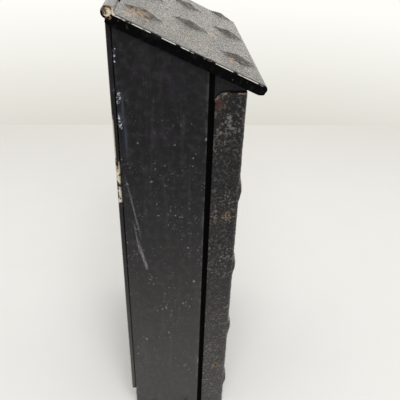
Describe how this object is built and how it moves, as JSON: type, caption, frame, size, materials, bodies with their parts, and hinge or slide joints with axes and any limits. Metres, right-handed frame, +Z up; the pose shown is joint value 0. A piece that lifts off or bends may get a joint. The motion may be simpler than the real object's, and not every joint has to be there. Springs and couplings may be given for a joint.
{
  "type": "wall letter box",
  "caption": "Upright sheet-steel letter box for a wall, with a hammered, diamond-studded front and a hinged sloping lid.",
  "frame": {"origin": "on the base plane, under the middle of the whole object's box", "axes": "+Z up, -Y towards the front of the letter box, +Y towards the wall, X along the hinge"},
  "size_m": [0.1564, 0.0878, 0.3252],
  "materials": {
    "smooth_enamel": "gloss black enamel, dusty and scratched",
    "hammered_enamel": "black enamel over hammered sheet, worn on the high points",
    "back_enamel": "worn black enamel with wall paint along its edges",
    "pin_steel": "dull steel wire",
    "rivet_enamel": "black enamel, rusting"
  },
  "bodies": {
    "box": {"back_panel": "back_enamel", "left_side_panel": "smooth_enamel", "right_side_panel": "smooth_enamel", "bottom_pan": "smooth_enamel", "front_cover": "hammered_enamel", "hinge_pin": "pin_steel", "cover_rivet_left_upper": "rivet_enamel", "cover_rivet_left_lower": "rivet_enamel", "cover_rivet_right_upper": "rivet_enamel", "cover_rivet_right_lower": "rivet_enamel", "back_rivet_left_upper": "rivet_enamel", "back_rivet_left_middle": "rivet_enamel", "back_rivet_left_lower": "rivet_enamel", "back_rivet_right_upper": "rivet_enamel", "back_rivet_right_middle": "rivet_enamel", "back_rivet_right_lower": "rivet_enamel", "pan_rivet_left_front": "rivet_enamel", "pan_rivet_left_rear": "rivet_enamel", "pan_rivet_left_back": "rivet_enamel", "pan_rivet_right_front": "rivet_enamel", "pan_rivet_right_rear": "rivet_enamel", "pan_rivet_right_back": "rivet_enamel"},
    "lid": {"lid": "hammered_enamel"}
  },
  "joints": [
    {"name": "lid_hinge", "type": "hinge", "parent": "box", "child": "lid", "pos_m": [0, 0.04073, 0.322], "axis": [-1, 0, 0], "range_deg": [0, 110]}
  ]
}
